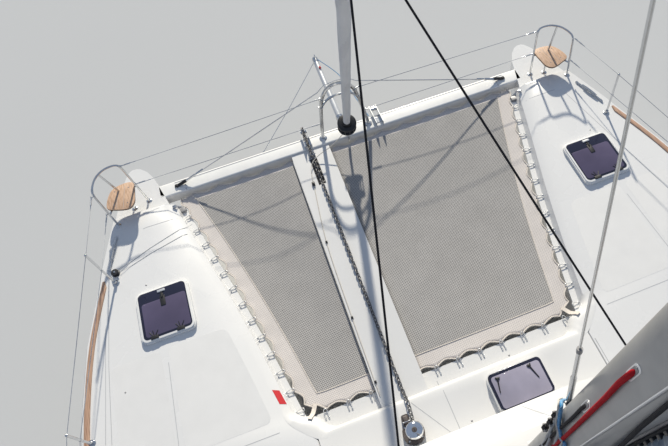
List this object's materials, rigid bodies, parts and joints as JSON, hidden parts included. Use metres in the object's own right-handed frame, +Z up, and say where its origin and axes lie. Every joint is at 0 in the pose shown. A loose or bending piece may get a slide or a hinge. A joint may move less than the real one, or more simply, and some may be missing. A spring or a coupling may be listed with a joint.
{
  "type": "cruising sailing catamaran",
  "caption": "Cruising sailing catamaran with bow nets, a forward crossbeam and sprit, coachroof, aft cockpit, mast, and stowed sails.",
  "frame": {"origin": "on the waterline and the centreline, at the middle of the mast", "axes": "+X forward, towards the bows; +Y to port; +Z up"},
  "size_m": [14.5315, 7.83, 19.15],
  "materials": {
    "gelcoat": "glossy white gelcoat",
    "white_paint": "glossy white paint",
    "grey_metal": "satin",
    "bronze": "polished",
    "glazing": "dark tinted",
    "smoked_acrylic": "smoked, clear",
    "stainless": "polished stainless steel",
    "galvanised": "dull galvanised",
    "spar_alloy": "anodised",
    "pale_wood": "weathered",
    "timber": "oiled",
    "net": "woven mesh",
    "sailcloth": "weathered",
    "bag_cloth": "acrylic canvas"
  },
  "bodies": {
    "boat": {"hull_port": "gelcoat", "hull_starboard": "gelcoat", "keel_port": "gelcoat", "keel_starboard": "gelcoat", "saildrive_port": "grey_metal", "saildrive_starboard": "grey_metal", "bridge_deck": "gelcoat", "coachroof": "gelcoat", "side_window_port": "glazing", "side_window_starboard": "glazing", "front_window_port": "glazing", "front_window_starboard": "glazing", "hard_top": "gelcoat", "helm_console": "gelcoat", "cockpit_table": "pale_wood", "rub_rail_port": "timber", "rub_rail_starboard": "timber", "crossbeam": "white_paint", "striker_arch": "stainless", "striker_wires": "stainless", "sprit": "spar_alloy", "walkway": "gelcoat", "net_port": "net", "net_starboard": "net", "bow_roller_port": "stainless", "bow_roller_starboard": "stainless", "anchor_chain": "galvanised", "windlass_base": "grey_metal", "pulpit_port": "stainless", "pulpit_starboard": "stainless", "pulpit_seat_port": "pale_wood", "pulpit_seat_starboard": "pale_wood", "guardrail_bow_port": "stainless", "guardrail_bow_starboard": "stainless", "guardrail_port": "stainless", "guardrail_starboard": "stainless", "pushpit_port": "stainless", "pushpit_starboard": "stainless", "hatch_frame_port": "white_paint", "hatch_frame_starboard": "white_paint", "deck_hatch_frame": "white_paint", "mast": "spar_alloy", "spreaders": "spar_alloy", "shroud_port": "stainless", "shroud_starboard": "stainless", "forestay_fitting": "stainless"},
    "rudder_left": {"rudder_port": "gelcoat"},
    "rudder_right": {"rudder_starboard": "gelcoat"},
    "wheel": {"helm_wheel": "stainless"},
    "screw_left": {"propeller_port": "bronze"},
    "screw_right": {"propeller_starboard": "bronze"},
    "door": {"saloon_door": "glazing"},
    "lid_left": {"hatch_lid_port": "smoked_acrylic"},
    "lid_right": {"hatch_lid_starboard": "smoked_acrylic"},
    "lid_middle": {"deck_hatch_lid": "smoked_acrylic"},
    "drum": {"windlass_drum": "stainless"},
    "headsail": {"furled_headsail": "sailcloth"},
    "boom_and_sail": {"boom": "spar_alloy", "sail_bag": "bag_cloth"}
  },
  "joints": [
    {"name": "rudder_port_turn", "type": "hinge", "parent": "boat", "child": "rudder_left", "pos_m": [-6.5, 2.79, -0.3], "axis": [0, 0, 1], "range_deg": [-35, 35]},
    {"name": "rudder_starboard_turn", "type": "hinge", "parent": "boat", "child": "rudder_right", "pos_m": [-6.5, -2.79, -0.3], "axis": [0, 0, 1], "range_deg": [-35, 35]},
    {"name": "helm_wheel_turn", "type": "hinge", "parent": "boat", "child": "wheel", "pos_m": [-4.62, -1.05, 1.8], "axis": [1, 0, 0], "range_deg": [-422, 422]},
    {"name": "propeller_port_spin", "type": "hinge", "parent": "boat", "child": "screw_left", "pos_m": [-5.5, 2.79, -0.7], "axis": [1, 0, 0], "continuous": true},
    {"name": "propeller_starboard_spin", "type": "hinge", "parent": "boat", "child": "screw_right", "pos_m": [-5.5, -2.79, -0.7], "axis": [1, 0, 0], "continuous": true},
    {"name": "saloon_door_slide", "type": "slide", "parent": "boat", "child": "door", "axis": [0, 1, 0], "range_m": [0, 0.88]},
    {"name": "hatch_port_open", "type": "hinge", "parent": "boat", "child": "lid_left", "pos_m": [3.275, 2.645, 1.668], "axis": [0, 1, 0], "range_deg": [0, 95]},
    {"name": "hatch_starboard_open", "type": "hinge", "parent": "boat", "child": "lid_right", "pos_m": [3.275, -2.645, 1.668], "axis": [0, 1, 0], "range_deg": [0, 95]},
    {"name": "deck_hatch_open", "type": "hinge", "parent": "boat", "child": "lid_middle", "pos_m": [0.686, -0.57, 1.696], "axis": [0, -1, 0], "range_deg": [0, 80]},
    {"name": "windlass_turn", "type": "hinge", "parent": "boat", "child": "drum", "pos_m": [0.824, 0.57, 1.7], "axis": [0, 0, 1], "continuous": true},
    {"name": "headsail_furl", "type": "hinge", "parent": "boat", "child": "headsail", "pos_m": [4.56, 0, 1.7], "axis": [-0.3157, 0, 0.9488], "continuous": true},
    {"name": "boom_swing", "type": "hinge", "parent": "boat", "child": "boom_and_sail", "pos_m": [-0.2502, 0, 3.9], "axis": [0, 0, 1], "range_deg": [-70, 70]}
  ],
  "couplings": [
    {"joint": "rudder_starboard_turn", "follows": "rudder_port_turn", "ratio": 1},
    {"joint": "helm_wheel_turn", "follows": "rudder_port_turn", "ratio": 12}
  ]
}
